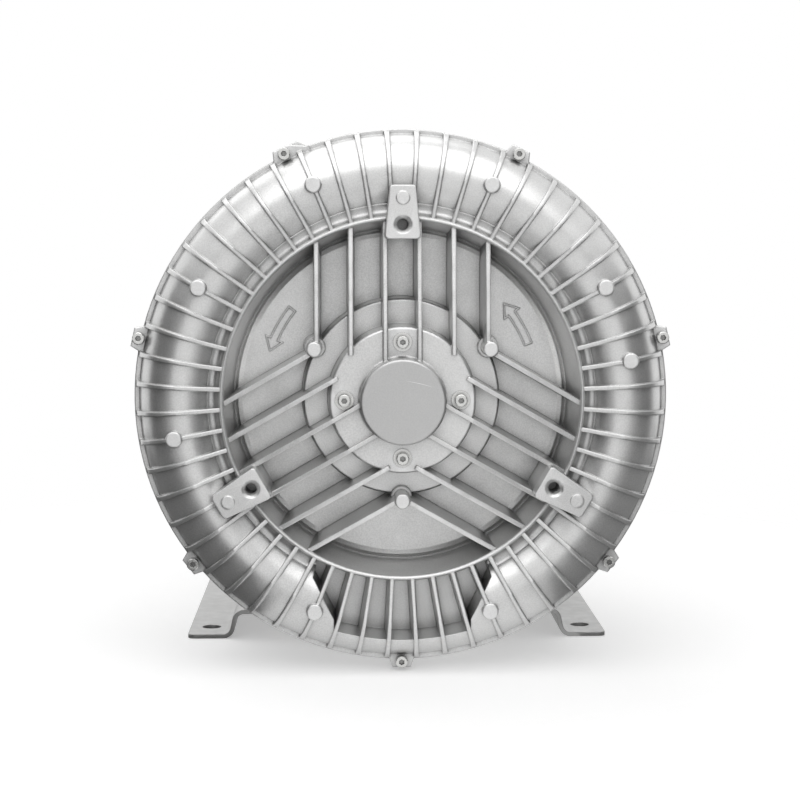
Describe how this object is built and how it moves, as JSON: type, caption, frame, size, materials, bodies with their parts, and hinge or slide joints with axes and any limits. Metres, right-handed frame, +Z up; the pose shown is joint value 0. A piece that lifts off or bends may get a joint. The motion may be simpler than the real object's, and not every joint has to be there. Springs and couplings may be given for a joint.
{
  "type": "side channel blower",
  "caption": "Side channel blower with ribbed cast cover, rear housing with silencer tubes, flange motor with fan cowl, and pressed steel foot.",
  "frame": {"origin": "on the floor at the centre of the foot's four-hole bolt pattern", "axes": "+Z up; -Y out of the ribbed cover along the shaft; +Y towards the motor's fan; +X to the right seen from the cover"},
  "size_m": [0.3762, 0.41, 0.3795],
  "materials": {
    "cast_aluminium": "blasted aluminium casting, silver",
    "machined_aluminium": "machined aluminium",
    "zinc_steel": "zinc-plated steel",
    "shaft_steel": "ground steel",
    "lamination_steel": "stacked electrical steel",
    "winding_copper": "enamelled copper wire",
    "seal_rubber": "black nitrile rubber",
    "silencer_foam": "open-cell foam",
    "black_plastic": "moulded polyamide",
    "cowl_paint": "silver-grey painted sheet",
    "foot_steel": "silver-grey coated sheet steel"
  },
  "bodies": {
    "blower_frame": {"front_cover": "cast_aluminium", "rear_housing": "cast_aluminium", "bearing_retainer": "machined_aluminium", "port_flange_left": "cast_aluminium", "port_flange_right": "cast_aluminium", "motor_housing": "cast_aluminium", "motor_end_shield": "cast_aluminium", "cover_seal": "seal_rubber", "front_shaft_seal": "seal_rubber", "rear_shaft_seal": "seal_rubber", "port_gasket_left": "seal_rubber", "port_gasket_right": "seal_rubber", "terminal_box_gasket": "seal_rubber", "silencer_foam_left": "silencer_foam", "silencer_foam_right": "silencer_foam", "stator_core": "lamination_steel", "stator_windings": "winding_copper", "fan_cowl": "cowl_paint", "terminal_box_base": "cast_aluminium", "terminal_box_lid": "cast_aluminium", "terminal_block": "black_plastic", "cable_gland": "black_plastic", "blanking_plug": "black_plastic", "foot_bracket": "foot_steel", "cover_screws": "zinc_steel", "hub_screws": "zinc_steel", "hub_screw_washers": "zinc_steel", "bearing_wave_spring": "zinc_steel", "front_bearing_outer_ring": "zinc_steel", "rear_bearing_outer_ring": "zinc_steel", "port_flange_screws": "zinc_steel", "motor_tie_bolts": "zinc_steel", "fan_cowl_screws": "zinc_steel", "terminal_box_screws": "zinc_steel", "foot_screws": "zinc_steel"},
    "rotor": {"rotor_shaft": "shaft_steel", "rotor_core": "lamination_steel", "impeller": "machined_aluminium", "impeller_key": "zinc_steel", "impeller_nut": "zinc_steel", "front_bearing_inner_ring": "zinc_steel", "rear_bearing_inner_ring": "zinc_steel", "cooling_fan": "black_plastic", "fan_retaining_ring": "zinc_steel"},
    "front_bearing_cage": {"front_bearing_balls": "zinc_steel"},
    "rear_bearing_cage": {"rear_bearing_balls": "zinc_steel"}
  },
  "joints": [
    {"name": "rotor_spin", "type": "hinge", "parent": "blower_frame", "child": "rotor", "pos_m": [0, -0.227, 0.1935], "axis": [0, -1, 0], "continuous": true},
    {"name": "front_cage_spin", "type": "hinge", "parent": "blower_frame", "child": "front_bearing_cage", "pos_m": [0, -0.233, 0.1935], "axis": [0, -1, 0], "continuous": true},
    {"name": "rear_cage_spin", "type": "hinge", "parent": "blower_frame", "child": "rear_bearing_cage", "pos_m": [0, 0.031, 0.1935], "axis": [0, -1, 0], "continuous": true}
  ],
  "couplings": [
    {"joint": "front_cage_spin", "follows": "rotor_spin", "ratio": 0.4065},
    {"joint": "rear_cage_spin", "follows": "rotor_spin", "ratio": 0.4065}
  ]
}
